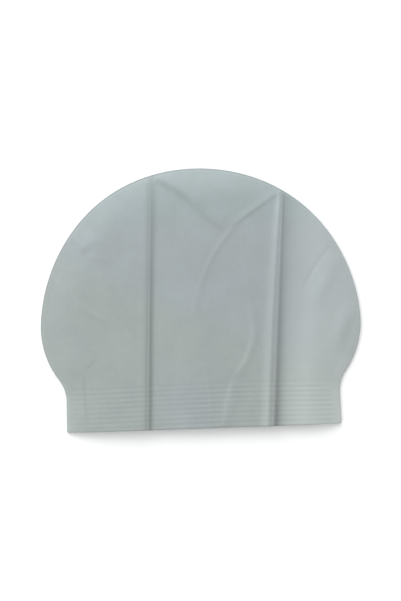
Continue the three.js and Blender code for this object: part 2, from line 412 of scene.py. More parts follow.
@dataclass(frozen=True)
class Noise:
    """A noise in the latex.

    Attributes:
        scale: How many features it has in a metre.
        detail: How many finer layers it has.
        rough: How strong each finer layer is.
    """

    scale: float
    detail: float
    rough: float


@dataclass(frozen=True)
class Mottle(Noise):
    """A noise that turns one colour, or one roughness, towards another.

    Attributes:
        low: Noise below which it gives its least.
        high: Noise above which it gives its most.
        most: Its most.
        least: Its least.
    """

    low: float
    high: float
    most: float
    least: float = 0.0


@dataclass(frozen=True)
class Relief(Noise):
    """A noise that makes the surface uneven.

    Attributes:
        strength: How much of it the shading shows.
        depth: Its depth in millimetres.
    """

    strength: float
    depth: float


@dataclass(frozen=True)
class LatexFinish:
    """The look of thin silver-grey latex: satin, a little cloudy, with painted shade and light.

    Attributes:
        tone: The latex's own colour, linear.
        cool: The painted reflection tint of its bluer zone.
        warm: The painted reflection tint of its greener zone, and the colour of its greener drifts.
        teal: The painted reflection tint of its crown.
        stain: The colour of its duller patches.
        mark: The colour of painted shade along the folds, the folded edge and a groove line, and of dull
            patches.
        dust_and_painted_light: The colour of grains of powder and of painted light on the latex.
        clouds: Broad clouds of the latex's own colour.
        drifts: Greener drifts.
        stains: Duller stains.
        specks: Small duller specks.
        dust: Grains of powder.
        sheen: The roughness.
        grain: The finest relief.
        waves: The uneven wall.
        specular: How strongly it reflects.
        refraction: Its index of refraction.
    """

    tone: tuple[float, float, float] = (0.301, 0.333, 0.334)
    cool: tuple[float, float, float] = (0.300, 0.332, 0.348)
    warm: tuple[float, float, float] = (0.300, 0.335, 0.320)
    teal: tuple[float, float, float] = (0.282, 0.333, 0.340)
    stain: tuple[float, float, float] = (0.238, 0.262, 0.262)
    mark: tuple[float, float, float] = (0.148, 0.160, 0.160)
    dust_and_painted_light: tuple[float, float, float] = (0.545, 0.588, 0.573)
    clouds: Mottle = Mottle(24.0, 3.0, 0.55, low=0.4, high=0.7, most=0.35)
    drifts: Mottle = Mottle(31.0, 4.0, 0.6, low=0.45, high=0.7, most=0.2)
    stains: Mottle = Mottle(48.0, 5.0, 0.65, low=0.38, high=0.64, most=0.27)
    specks: Mottle = Mottle(230.0, 5.0, 0.7, low=0.35, high=0.65, most=0.17)
    dust: Mottle = Mottle(1500.0, 2.0, 0.5, low=0.45, high=0.75, most=0.06)
    sheen: Mottle = Mottle(60.0, 4.0, 0.6, low=0.3, high=0.7, most=0.56, least=0.45)
    grain: Relief = Relief(1300.0, 4.0, 0.6, strength=0.35, depth=0.04)
    waves: Relief = Relief(130.0, 3.0, 0.55, strength=0.5, depth=0.12)
    specular: float = 0.5
    refraction: float = 1.5

    def material(self) -> bpy.types.Material:
        """Build the node material.

        Returns:
            The material.
        """
        material = bpy.data.materials.new("silver_grey_latex")
        material.use_nodes = True
        nodes, links = material.node_tree.nodes, material.node_tree.links
        shader = nodes["Principled BSDF"]
        shader.inputs["Specular IOR Level"].default_value = self.specular
        shader.inputs["IOR"].default_value = self.refraction
        place = nodes.new("ShaderNodeTexCoord").outputs["Object"]

        def noise(pattern: Noise) -> bpy.types.NodeSocket:
            """Add a noise and return its value."""
            texture = nodes.new("ShaderNodeTexNoise")
            texture.inputs["Scale"].default_value = pattern.scale
            texture.inputs["Detail"].default_value = pattern.detail
            texture.inputs["Roughness"].default_value = pattern.rough
            links.new(place, texture.inputs["Vector"])
            return texture.outputs["Fac"]

        def mottled(pattern: Mottle) -> bpy.types.NodeSocket:
            """Add a mottle and return its share."""
            ranged = nodes.new("ShaderNodeMapRange")
            ranged.inputs["From Min"].default_value = pattern.low
            ranged.inputs["From Max"].default_value = pattern.high
            ranged.inputs["To Min"].default_value = pattern.least
            ranged.inputs["To Max"].default_value = pattern.most
            links.new(noise(pattern), ranged.inputs["Value"])
            return ranged.outputs["Result"]

        def uneven(pattern: Relief) -> bpy.types.ShaderNode:
            """Add a bump node for a relief and return it."""
            bump = nodes.new("ShaderNodeBump")
            bump.inputs["Strength"].default_value = pattern.strength
            bump.inputs["Distance"].default_value = pattern.depth * MM
            links.new(noise(pattern), bump.inputs["Height"])
            return bump

        def blend(share: bpy.types.NodeSocket, first: object, second: object) -> bpy.types.NodeSocket:
            """Mix two colours, each a socket or a plain colour, and return the result."""
            mixer = nodes.new("ShaderNodeMix")
            mixer.data_type = "RGBA"
            links.new(share, mixer.inputs["Factor"])
            for name, colour in (("A", first), ("B", second)):
                socket = next(s for s in mixer.inputs if s.name == name and s.type == "RGBA")
                if isinstance(colour, tuple):
                    socket.default_value = (*colour, 1.0)
                else:
                    links.new(colour, socket)
            return next(s for s in mixer.outputs if s.type == "RGBA")

        def named(attribute: str) -> bpy.types.NodeSocket:
            """Read one of the mesh's own values."""
            reader = nodes.new("ShaderNodeAttribute")
            reader.attribute_name = attribute
            return reader.outputs["Fac"]

        # Painted reflection tints: greener low on the left, bluer higher up and teal at the crown.
        colour = blend(named("cool_zone"), self.warm, self.cool)
        colour = blend(named("crown_zone"), colour, self.teal)
        colour = blend(mottled(self.clouds), colour, self.tone)
        colour = blend(mottled(self.drifts), colour, self.warm)
        colour = blend(mottled(self.stains), colour, self.stain)
        colour = blend(mottled(self.specks), colour, self.stain)
        colour = blend(mottled(self.dust), colour, self.dust_and_painted_light)
        # Painted light on the right panel, crease crest, lower right edge and crown top, with a thin paler
        # line and paler patches.
        colour = blend(named("pale_tone_and_painted_light"), colour, self.dust_and_painted_light)
        # Painted shade along the folds, on the folded edge and in a groove line, and a few duller patches.
        colour = blend(named("painted_shade_and_dull_patches"), colour, self.mark)
        links.new(colour, shader.inputs["Base Color"])
        links.new(mottled(self.sheen), shader.inputs["Roughness"])
        grain, waves = uneven(self.grain), uneven(self.waves)
        links.new(grain.outputs["Normal"], waves.inputs["Normal"])
        links.new(waves.outputs["Normal"], shader.inputs["Normal"])
        return material


@dataclass(frozen=True)
class RibBand:
    """Fine ribs that circle the band above the hem, raised by a Geometry Nodes tree.

    The lowest rib runs along the cut hem and is its bead.

    Attributes:
        count: How many ribs there are.
        pitch: From one rib to the next.
        rib_height: How far a rib stands up.
        rib_width: How wide it is at its foot.
        unevenness: How much the ribs' height wanders, as a share of it.
        first: From the hem to the middle of the first rib, at the folded edges.
        bow: How much higher the ribs run where they are highest.
        bow_middle: Where that is, as a share of half the cap's width.
        bow_reach: How far from there the bow has died away, a share of half the width.
        end_margin: From the folded edge to the middle of a rib's run-out.
        run_out: Length over which a rib dies away at each end.
        wander_scale: How many swings of the ribs' height there are in a metre.
        wander_detail: How many finer layers those have.
        wander_gain: How far the noise behind them is spread.
    """

    count: int = 9
    pitch: float = 3.33
    rib_height: float = 0.1
    rib_width: float = 3.2
    unevenness: float = 0.5
    first: float = 0.02
    bow: float = 1.75
    bow_middle: float = 0.17
    bow_reach: float = 1.0
    end_margin: float = 4.5
    run_out: float = 3.0
    wander_scale: float = 45.0
    wander_detail: float = 2.0
    wander_gain: float = 4.0

    @property
    def top(self) -> float:
        """Height over the hem at which the last rib ends."""
        return self.first + (self.count - 1) * self.pitch + self.rib_width / 2

    def hem_rise(self, x: np.ndarray, y: np.ndarray, half_width: float) -> np.ndarray:
        """Return how high places lie over the hem as the bowed ribs measure it."""
        return y - self.bow * smooth(1 - np.abs(x / half_width - self.bow_middle) / self.bow_reach)

    def reach(self, inward: np.ndarray) -> np.ndarray:
        """Return how fully a rib stands at a distance inside the folded edge, from 0 to 1."""
        return smooth((inward - self.end_margin) / self.run_out + 0.5)

    def tree(self) -> bpy.types.NodeTree:
        """Build the tree that raises the ribs on any skin that knows its hem_rise and rib_reach.

        Returns:
            The tree, with named inputs for the ribs' sizes and for the material.
        """
        tree = bpy.data.node_groups.new("raise_ribs", "GeometryNodeTree")
        face = tree.interface
        face.new_socket("Geometry", in_out="INPUT", socket_type="NodeSocketGeometry")
        face.new_socket("Geometry", in_out="OUTPUT", socket_type="NodeSocketGeometry")
        for name, kind in (
            ("Rib Count", "NodeSocketInt"),
            ("Rib Pitch", "NodeSocketFloat"),
            ("Rib Height", "NodeSocketFloat"),
            ("Rib Width", "NodeSocketFloat"),
            ("Unevenness", "NodeSocketFloat"),
            ("First Rib", "NodeSocketFloat"),
            ("Material", "NodeSocketMaterial"),
        ):
            face.new_socket(name, in_out="INPUT", socket_type=kind)
        nodes, links = tree.nodes, tree.links
        given = nodes.new("NodeGroupInput").outputs
        result = nodes.new("NodeGroupOutput")

        def math_node(operation: str, *values: object) -> bpy.types.NodeSocket:
            """Add a math node on sockets or plain numbers and return its value."""
            node = nodes.new("ShaderNodeMath")
            node.operation = operation
            for socket, value in zip(node.inputs, values):
                if isinstance(value, (int, float)):
                    socket.default_value = value
                else:
                    links.new(value, socket)
            return node.outputs["Value"]

        def stored(name: str) -> bpy.types.NodeSocket:
            """Read a value that the skin's mesh stores on its points."""
            node = nodes.new("GeometryNodeInputNamedAttribute")
            node.data_type = "FLOAT"
            node.inputs["Name"].default_value = name
            return node.outputs["Attribute"]

        over_first = math_node("SUBTRACT", stored("hem_rise"), given["First Rib"])
        nearest = math_node("ROUND", math_node("DIVIDE", over_first, given["Rib Pitch"]))
        last = math_node("SUBTRACT", given["Rib Count"], 1)
        rib = math_node("MINIMUM", math_node("MAXIMUM", nearest, 0), last)
        crest_rise = math_node("MULTIPLY", rib, given["Rib Pitch"])
        away = math_node("ABSOLUTE", math_node("SUBTRACT", over_first, crest_rise))
        half_width = math_node("DIVIDE", given["Rib Width"], 2)
        across = math_node("MINIMUM", math_node("DIVIDE", away, half_width), 1)
        wave = math_node("COSINE", math_node("MULTIPLY", across, math.pi))
        crest = math_node("MULTIPLY_ADD", wave, 0.5, 0.5)
        wander = nodes.new("ShaderNodeTexNoise")
        wander.inputs["Scale"].default_value = self.wander_scale
        wander.inputs["Detail"].default_value = self.wander_detail
        swing = math_node("MULTIPLY_ADD", wander.outputs["Fac"], self.wander_gain, -self.wander_gain / 2)
        evenness = math_node("MULTIPLY_ADD", swing, given["Unevenness"], 1)
        height = math_node("MULTIPLY", given["Rib Height"], evenness)
        lift = math_node("MULTIPLY", math_node("MULTIPLY", crest, stored("rib_reach")), height)

        outward = nodes.new("GeometryNodeInputNormal").outputs[0]
        shift = nodes.new("ShaderNodeVectorMath")
        shift.operation = "SCALE"
        links.new(outward, shift.inputs[0])
        links.new(lift, shift.inputs["Scale"])
        raised = nodes.new("GeometryNodeSetPosition")
        links.new(given["Geometry"], raised.inputs["Geometry"])
        links.new(shift.outputs["Vector"], raised.inputs["Offset"])
        real = nodes.new("GeometryNodeRealizeInstances")
        links.new(raised.outputs["Geometry"], real.inputs["Geometry"])
        dressed = nodes.new("GeometryNodeSetMaterial")
        links.new(real.outputs["Geometry"], dressed.inputs["Geometry"])
        links.new(given["Material"], dressed.inputs["Material"])
        links.new(dressed.outputs["Geometry"], result.inputs["Geometry"])
        return tree

    def raise_on(self, skin: bpy.types.Object, material: bpy.types.Material) -> bpy.types.Mesh:
        """Raise the ribs on a smooth skin.

        Args:
            skin: The object whose mesh is the smooth skin.
            material: What the skin is made of.

        Returns:
            A plain mesh with the ribs on it.
        """
        modifier = skin.modifiers.new("ribs", "NODES")
        modifier.node_group = self.tree()
        sizes = {
            "Rib Count": self.count,
            "Rib Pitch": self.pitch * MM,
            "Rib Height": self.rib_height * MM,
            "Rib Width": self.rib_width * MM,
            "Unevenness": self.unevenness,
            "First Rib": self.first * MM,
            "Material": material,
        }
        for item in modifier.node_group.interface.items_tree:
            if item.in_out == "INPUT" and item.name in sizes:
                modifier[item.identifier] = sizes[item.name]
        graph = bpy.context.evaluated_depsgraph_get()
        mesh = bpy.data.meshes.new_from_object(skin.evaluated_get(graph), depsgraph=graph)
        skin.modifiers.remove(modifier)
        return mesh


RIGHT_SECTION = (
    (-14.0, 0.0),
    (-10.4, 0.25),
    (-7.6, 0.8),
    (-6.0, 1.2),
    (-4.9, 1.06),
    (-3.6, 0.86),
    (-2.4, 0.8),
    (-1.2, 0.45),
    (0.0, -0.1),
    (1.2, -0.5),
    (2.6, -0.75),
    (5.0, -0.85),
    (10.0, -0.7),
    (24.0, 0.5),
)
# Painted shade across the right crease: offset right of the valley, and share.
RIGHT_CREASE_SHADE = (
    (-6.0, 0.0),
    (-4.0, 0.08),
    (-2.4, 0.14),
    (-1.1, 0.66),
    (0.1, 0.57),
    (1.4, 0.34),
    (3.0, 0.16),
    (6.0, 0.0),
    (9.0, 0.0),
)
# Painted light across the right crease and panel: a highlight on the crest left of the valley, and a
# brighter panel to its right.
RIGHT_PAINTED_LIGHT = (
    (-13.0, 0.0),
    (-7.6, 0.38),
    (-5.8, 0.24),
    (-4.2, 0.0),
    (0.0, 0.1),
    (10.0, 0.84),
    (30.0, 1.15),
)
LEFT_SECTION = (
    (-30.0, 0.0),
    (-9.0, 0.5),
    (-4.4, 0.6),
    (-3.0, 0.46),
    (-1.8, 0.18),
    (-0.9, 0.06),
    (0.0, -0.24),
    (1.0, -0.6),
    (2.0, -0.78),
    (3.4, -0.84),
    (10.0, -0.65),
    (30.0, 0.0),
)
# Painted shade across the left crease: offset right of the valley, and share.
LEFT_CREASE_SHADE = (
    (-5.0, 0.0),
    (-3.4, 0.08),
    (-2.1, 0.26),
    (-1.1, 0.08),
    (0.0, 0.52),
    (1.1, 0.42),
    (2.2, 0.18),
    (3.6, 0.0),
    (5.0, 0.0),
)
PACKING_FOLDS = (
    PackingFold("left, packing", foot_x=-37.4, head_x=-29.8, section=LEFT_SECTION, head_left=0.8,
                head_right=1.9, head_rise=0.64, marks=LEFT_CREASE_SHADE, head_mark=0.22, mark_power=2.5),
    PackingFold("right, packing", foot_x=49.6, head_x=62.0, section=RIGHT_SECTION, head_left=0.3,
                head_right=2.6, head_rise=0.62, marks=RIGHT_CREASE_SHADE, head_mark=0.36, mark_power=0.34),
)
# Marks above 0 paint shade along most lines, and marks below 0 paint light on the bow and the right cheek.
# The dull and pale patches only darken or lighten the colour.
SOFT_FOLDS = (
    SoftFold("V, left arm", (-0.262, 0.974), (-0.069, 0.9205), (0.06, 0.813),
             rise=1.1, left=20.0, right=5.0, fade_in=0.06, fade_out=0.28, crisp=0.6),
    SoftFold("V, left tip", (-0.03, 0.872), (0.1145, 0.7727), (0.18, 0.765),
             rise=0.55, left=14.0, right=4.0, fade_in=0.4, fade_out=0.5, crisp=0.5),
    # Painted shade on the dark side of the V's left arm and tip.
    shaded_line("V, left shade", (-0.24, 0.948), (-0.085, 0.905), (0.04, 0.82),
                fades=(0.08, 0.4), mark=0.16, reach=4.2),
    shaded_line("V, tip shade", (-0.03, 0.866), (0.0775, 0.7805), (0.175, 0.757),
                fades=(0.35, 0.12), mark=0.11, reach=2.1),
    SoftFold("V, right arm", (0.583, 0.9235), (0.38, 0.845), (0.168, 0.7515),
             rise=0.5, left=2.1, right=5.4, fade_in=0.1, fade_out=0.3, crisp=0.6),
    SoftFold("tail, upper", (0.277, 0.796), (0.077, 0.69), (0.001, 0.536),
             rise=0.28, left=3.4, right=1.9, fade_out=0.2, crisp=0.3),
    SoftFold("tail, lower", (0.026, 0.598), (-0.021, 0.518), (-0.064, 0.38),
             rise=0.2, left=4.4, right=2.4, fade_in=0.3, fade_out=0.4),
    # The bow's marks below 0 are a painted highlight on its crest.
    SoftFold("bow", (0.276, 0.505), (0.412, 0.333), (0.172, 0.171),
             rise=0.42, left=5.8, right=2.4, fade_in=0.2, fade_out=0.2, crisp=0.2,
             mark=-0.025, mark_reach=3.5),
    SoftFold("bow, foot", (0.2, 0.196), (0.143, 0.098), (0.12, 0.0),
             rise=0.42, left=9.0, right=2.4, fade_in=0.2, fade_out=0.12, mark=-0.025, mark_reach=3.5),
    SoftFold("middle, faint line", (-0.01, 0.245), (0.075, 0.17), (0.025, 0.01),
             rise=0.15, left=3.2, right=2.2, fade_in=0.3),
    SoftFold("right, crest", (0.945, 0.672), (0.795, 0.582), (0.692, 0.432),
             rise=0.4, left=7.0, right=10.0, fade_in=0.35, fade_out=0.35, crisp=0.2),
    SoftFold("right, groove", (0.866, 0.698), (0.706, 0.618), (0.636, 0.498),
             rise=-0.26, left=2.2, right=2.6, fade_in=0.3, fade_out=0.3),
    SoftFold("right, hollow", (0.9, 0.62), (0.86, 0.6), (0.82, 0.56),
             rise=-0.12, left=6.0, right=6.0, fade_in=0.4, fade_out=0.4),
    SoftFold("right, edge", (0.975, 0.47), (0.88, 0.4), (0.84, 0.27),
             rise=0.6, left=7.0, right=9.0, fade_in=0.4, fade_out=0.4),
    SoftFold("right, shoulder", (0.7, 0.76), (0.78, 0.7), (0.85, 0.63),
             rise=0.15, left=10.0, right=14.0, fade_in=0.45, fade_out=0.45),
    # Painted shade in a notch at the top of the right crease.
    shaded_line("right, notch", (0.607, 0.99), (0.602, 0.96), (0.597, 0.92),
                fades=(0.05, 0.7), mark=0.6, reach=1.2),
    SoftFold("left, facet side", (-0.83, 0.79), (-0.765, 0.745), (-0.685, 0.684),
             rise=0.75, left=14.0, right=7.0, fade_in=0.08, fade_out=0.2, crisp=1.0),
    # Painted shade below the left facet's line.
    shaded_line("left, facet shade", (-0.88, 0.74), (-0.83, 0.69), (-0.76, 0.64),
                fades=(0.2, 0.3), mark=0.09, reach=6.0),
    SoftFold("left, facet top", (-0.7, 0.68), (-0.6, 0.77), (-0.44, 0.87),
             rise=0.44, left=14.0, right=14.0, fade_in=0.3, fade_out=0.3),
    SoftFold("left, crossing", (-0.72, 0.69), (-0.64, 0.658), (-0.53, 0.652),
             rise=0.25, left=4.0, right=2.0, fade_in=0.2, fade_out=0.3, crisp=0.5),
    SoftFold("left, high streak", (-0.64, 0.625), (-0.59, 0.575), (-0.51, 0.525),
             rise=0.36, left=3.0, right=3.0, fade_in=0.35, fade_out=0.35),
    SoftFold("left, low streak", (-0.8, 0.505), (-0.68, 0.45), (-0.53, 0.405),
             rise=0.36, left=4.0, right=2.6, fade_in=0.35, fade_out=0.35),
    # Painted light on the lower right cheek, where the edge is shaded.
    shaded_line("right, pale cheek", (0.92, 0.27), (0.89, 0.22), (0.87, 0.16),
                fades=(0.4, 0.4), mark=-0.15, reach=7.0),
    shaded_line("middle, pale patch", (0.2, 0.5), (0.225, 0.4), (0.26, 0.3),
                fades=(0.4, 0.4), mark=-0.055, reach=7.0),
    shaded_line("hem, pale patch", (-0.15, 0.1), (-0.14, 0.05), (-0.13, 0.0),
                fades=(0.6, 0.05), mark=-0.08, reach=5.0),
    shaded_line("left, pale cheek", (-0.9, 0.4), (-0.84, 0.3), (-0.76, 0.2),
                fades=(0.4, 0.4), mark=-0.05, reach=16.0),
    # Painted shade in the curl's groove and along the foot's wrinkle.
    SoftFold("left, curl", (-0.74, 0.24), (-0.67, 0.245), (-0.66, 0.29),
             rise=-0.2, left=2.0, right=2.0, fade_in=0.3, fade_out=0.3, mark=0.09),
    SoftFold("left, foot", (-0.739, 0.25), (-0.748, 0.14), (-0.721, 0.02),
             rise=0.1, left=1.8, right=3.0, fade_in=0.3, fade_out=0.2, mark=0.14),
    shaded_line("left, dull patch", (-0.82, 0.58), (-0.74, 0.52), (-0.7, 0.42),
                fades=(0.4, 0.4), mark=0.035, reach=11.0),
    shaded_line("left, dull spot", (-0.49, 0.45), (-0.46, 0.42), (-0.48, 0.37),
                fades=(0.4, 0.4), mark=0.05, reach=5.0),
)


@dataclass(frozen=True)
class HueZones:
    """Where painted reflection tints make the latex bluer, greener or teal, in soft broad zones.

    Attributes:
        cool_start: Height over the hem, in the cap's middle, above which it is bluer.
        cool_fall: How much lower that is, for each step to the right.
        cool_blend: Length over which it turns.
        patch: Middle of a bluer patch above the hem, across and up.
        patch_reach: Radius of that patch.
        crown_start: Height above which the crown is teal.
        crown_blend: Length over which it turns.
    """

    cool_start: float = 76.0
    cool_fall: float = 0.45
    cool_blend: float = 22.0
    patch: tuple[float, float] = (-8.0, 16.0)
    patch_reach: float = 20.0
    crown_start: float = 142.0
    crown_blend: float = 14.0

    def cool(self, x: np.ndarray, y: np.ndarray) -> np.ndarray:
        """Return how far the painted reflection tint turns from greener to bluer, from 0 to 1."""
        above = (y - self.cool_start + self.cool_fall * x) / self.cool_blend
        patch = bell(np.hypot(x - self.patch[0], y - self.patch[1]), self.patch_reach)
        return np.clip(smooth(0.5 + above) + patch, 0, 1)

    def crown(self, y: np.ndarray) -> np.ndarray:
        """Return how strongly the teal painted reflection tint applies, from 0 to 1."""
        return smooth(0.5 + (y - self.crown_start) / self.crown_blend)


@dataclass(frozen=True)
class MeshPlan:
    """How finely the two skins are divided.

    Attributes:
        outer_band_step: Spacing of the outer skin's rows in the band.
        outer_crown_rows: How many rows the outer skin's crown has.
        inner_band_step: The same spacing on the inner skin.
        inner_crown_rows: The same number on the inner skin.
        crown_length: Length that the crown's rows are spread over, which spaces the cheeks' rows too.
        turn_columns: How many columns the folded edge's turn has.
        edge_columns: How far in from the folded edge the next columns stand.
        edge_share: The most of a panel's width that those take.
        valley_limit: How far out a fold's valley may lie, as a share of half the row.
        fold_span: How far the close columns beside a valley reach.
        span_share: The most of a panel's width that those take.
        columns: How many columns each stretch of the front has, left to right.
        back_columns: How many columns the back has.
        lip_shares: Where the loops on the cut hem lie, from the inner skin to the outer.
        lip_round: How much the cut hem is rounded, as a share of the wall.
    """

    outer_band_step: float = 0.42
    outer_crown_rows: int = 112
    inner_band_step: float = 2.4
    inner_crown_rows: int = 26
    crown_length: float = 130.0
    turn_columns: int = 8
    edge_columns: tuple[float, ...] = (1.95, 2.2, 2.5, 2.9, 3.5, 4.3, 5.4)
    edge_share: float = 0.3
    valley_limit: float = 0.84
    fold_span: float = 10.0
    span_share: float = 0.4
    columns: tuple[int, ...] = (42, 42, 56, 44, 32)
    back_columns: int = 44
    lip_shares: tuple[float, ...] = (0.15, 0.5, 0.85)
    lip_round: float = 0.3


@dataclass
class SwimCap:
    """The whole cap: outer skin, inner skin and cut hem, as one closed body.

    Attributes:
        outline: The cap's outline from above.
        ribs: The ribs on its band.
        finish: What it is made of.
        hues: Where its painted reflection tints change.
        plan: How finely its mesh is divided.
        wall: Thickness of the latex.
        edge_radius: Radius of the folded edge, to the outside of the latex.
        swell: How much higher than its folded edge the front face lies.
        swell_reach: Distance from the edge over which most of that is gained.
        back_rise: How far the ribs hold the back of the band off the floor.
        back_ease: Length above the ribs over which the back settles flat.
        fold_end: Distance from the folded edge over which folds die away.
        mark_end: The same for their painted shade and light.
        hem_painted_light: Share of painted light on the right panel at the hem.
        lost_painted_light: How much of that is missing further up.
        lost_end: Height, as a share of the cap's, from which all of that is missing.
        line_paleness: How pale the thin line inside the folded edge is.
        line_in: From the folded edge to that line.
        line_width: Its width.
        rim_mark: Painted shade on the folded edge where it turns up the cap's left side and crown.
        rim_width: Width of that shaded edge.
        side_mark: Painted shade on a broader strip up the left side.
        side_start: Where that strip starts, as a share of the widest line's height.
        corner_painted_light: Share of painted light on a broad strip down the lower right side.
        strip_width: Width of both strips.
        crown_painted_highlight: Share of painted highlight on the top of the crown, right of its middle.
        crown_start: Where that starts, as a share of the height.
        crown_blend: Share of the height over which it gains its strength.
        crown_middle: Its middle, as a share of the width.
        crown_reach: Its reach to both sides, as a share of the width.
        up_weight: How much the upper edge counts as the upper left.
        left_weight: How much the left side does.
        groove_mark: Painted shade along a fine groove line above the top rib.
        groove_rise: Height of that line as the bowed ribs measure it.
        groove_width: Its width.
    """

    outline: CapOutline
    ribs: RibBand = field(default_factory=RibBand)
    finish: LatexFinish = field(default_factory=LatexFinish)
    hues: HueZones = field(default_factory=HueZones)
    plan: MeshPlan = field(default_factory=MeshPlan)
    wall: float = 0.6
    edge_radius: float = 1.1
    swell: float = 6.2
    swell_reach: float = 13.5
    back_rise: float = 0.24
    back_ease: float = 14.0
    fold_end: float = 4.0
    mark_end: float = 1.6
    hem_painted_light: float = 0.36
    lost_painted_light: float = 0.14
    lost_end: float = 0.5
    line_paleness: float = 0.1
    line_in: float = 1.7
    line_width: float = 0.5
    rim_mark: float = 0.75
    rim_width: float = 0.75
    side_mark: float = 0.16
    side_start: float = 0.5
    corner_painted_light: float = 0.36
    strip_width: float = 6.0
    crown_painted_highlight: float = 0.1
    crown_start: float = 0.87
    crown_blend: float = 0.1
    crown_middle: float = 0.1
    crown_reach: float = 0.2
    up_weight: float = 0.88
    left_weight: float = 0.94
    groove_mark: float = 0.09
    groove_rise: float = 29.3
    groove_width: float = 0.7

    def rows(self, inset: float, band_step: float, crown_rows: int) -> list[Row]:
        """Place the rows from the hem up.

        Args:
            inset: Distance inside the outer skin.
            band_step: Spacing of the rows in the ribbed band.
            crown_rows: How many rows the crown has.

        Returns:
            The rows, without the top of the crown.
        """
        widest = self.outline.widest_y
        in_band = round(self.ribs.top / band_step)
        lip = self.wall if inset == 0 else 0.0
        rows = [self.outline.lower_row(y, inset) for y in np.linspace(lip, self.ribs.top, in_band)]
        cheek_rows = round(crown_rows * (widest - self.ribs.top) / self.plan.crown_length)
        heights = np.linspace(self.ribs.top, widest, cheek_rows)[1:-1]
        rows += [self.outline.lower_row(y, inset) for y in heights]
        angles = np.linspace(0, math.pi / 2, crown_rows + 1)[:-1]
        return rows + [self.outline.crown_row(angle, inset) for angle in angles]

    def edge_columns(self) -> np.ndarray:
        """Return the distances in from the folded edge at which columns stand."""
        turn = np.linspace(0, math.pi / 2, self.plan.turn_columns)[1:]
        return np.append(self.edge_radius * (1 - np.cos(turn)), self.plan.edge_columns)

    def row_edge(self, row: Row, room: float) -> np.ndarray:
        """Return those distances along a row, closer together where a panel has little room."""
        most = self.plan.edge_share * room / self.plan.edge_columns[-1]
        return self.edge_columns() * min(row.slant, most)

    def front_columns(self, row: Row) -> np.ndarray:
        """Place the front face's columns in a row, close together along the packing folds.

        Args:
            row: The row.

        Returns:
            Places from the row's middle, left to right.
        """
        share = row.y / self.outline.height
        limit = self.plan.valley_limit * row.half
        valleys = [
            float(np.clip(fold.foot_x + (fold.head_x - fold.foot_x) * share, -limit, limit))
            for fold in PACKING_FOLDS
        ]
        rooms = [valleys[0] + row.half, valleys[1] - valleys[0], row.half - valleys[1]]
        spans = [min(self.plan.fold_span, self.plan.span_share * room) for room in rooms]
        edge = self.row_edge(row, min(rooms))
        stops = [
            edge[-1] - row.half,
            valleys[0] - spans[0],
            valleys[0] + spans[1],
            valleys[1] - spans[1],
            valleys[1] + spans[2],
            row.half - edge[-1],
        ]
        columns = [np.array([-row.half]), edge - row.half]
        for start, end, count in zip(stops[:-1], stops[1:], self.plan.columns):
            columns.append(np.linspace(start, end, count + 1)[1:])
        return np.concatenate([*columns, (row.half - edge)[::-1][1:], [row.half]])

    def back_columns(self, row: Row) -> np.ndarray:
        """Place the back face's columns in a row, right to left, without the folded edges."""
        edge = self.row_edge(row, row.half)
        inner = row.half - edge[-1]
        between = np.linspace(inner, -inner, self.plan.back_columns)[1:-1]
        return np.concatenate([row.half - edge, between, (edge - row.half)[::-1]])

    def pale_tone_and_painted_light(self, x: np.ndarray, y: np.ndarray, inward: np.ndarray) -> np.ndarray:
        """Return the painted light on the front: most on the right panel, and a pale line inside the edge.

        Args:
            x: Places across the cap.
            y: Heights over the hem.
            inward: Distances inside the folded edge.

        Returns:
            The shares of painted light and paleness, from 0 to 1.
        """
        share = y / self.outline.height
        beyond = PACKING_FOLDS[-1].offset(x, y, self.outline.height)
        # Painted light on the right panel, with a painted highlight on the crest beside its crease.
        strength = self.hem_painted_light - self.lost_painted_light * smooth(share / self.lost_end)
        panel = curve_through(RIGHT_PAINTED_LIGHT, beyond) * strength
        # A thin paler line inside the folded edge.
        line = self.line_paleness * bell(inward - self.line_in, self.line_width)
        # Painted light on a strip down the shaded lower right edge.
        lower_right = np.clip(-self.upper_left(x, y), 0, 1)
        corner = self.corner_painted_light * lower_right * bell(inward, self.strip_width)
        # A painted highlight on the top of the crown.
        top = self.crown_painted_highlight * smooth((share - self.crown_start) / self.crown_blend)
        crown = top * bell(x / self.outline.width - self.crown_middle, self.crown_reach)
        return panel + line + corner + crown

    def upper_left(self, x: np.ndarray, y: np.ndarray) -> np.ndarray:
        """Return how far places lie towards the upper left, about 1 on that edge and -1 opposite."""
        crown = (y - self.outline.widest_y) / (self.outline.height - self.outline.widest_y)
        return self.up_weight * crown - self.left_weight * x / self.outline.width

    def marks(self, x: np.ndarray, y: np.ndarray, inward: np.ndarray) -> np.ndarray:
        """Return the painted shade along the front's folds, on its folded edge and above its ribs.

        Args:
            x: Places across the cap.
            y: Heights over the hem.
            inward: Distances inside the folded edge.

        Returns:
            The darkening, mostly painted shade, up to 1; below 0 the colour is lightened.
        """
        half_width, height = self.outline.width / 2, self.outline.height
        sharp = sum(fold.shade(x, y, height) for fold in PACKING_FOLDS)
        soft = sum(fold.shade(x, y, half_width, height) for fold in SOFT_FOLDS if fold.mark)
        # Painted shade on the folded edge towards the upper left, where the light falls on it.
        rim = self.rim_mark * np.clip(self.upper_left(x, y), 0, 1) * bell(inward, self.rim_width)
        # Painted shade on a broader strip up the left side.
        left = np.clip(-x / half_width, 0, 1) * smooth(y / self.outline.widest_y - self.side_start)
        side = self.side_mark * left * bell(inward, self.strip_width)
        # Painted shade along a fine groove line above the top rib.
        above_hem = self.ribs.hem_rise(x, y, half_width)
        groove = self.groove_mark * bell(above_hem - self.groove_rise, self.groove_width)
        groove *= self.ribs.reach(inward)
        return smooth(inward / self.mark_end) * (sharp + soft) + rim + side + groove

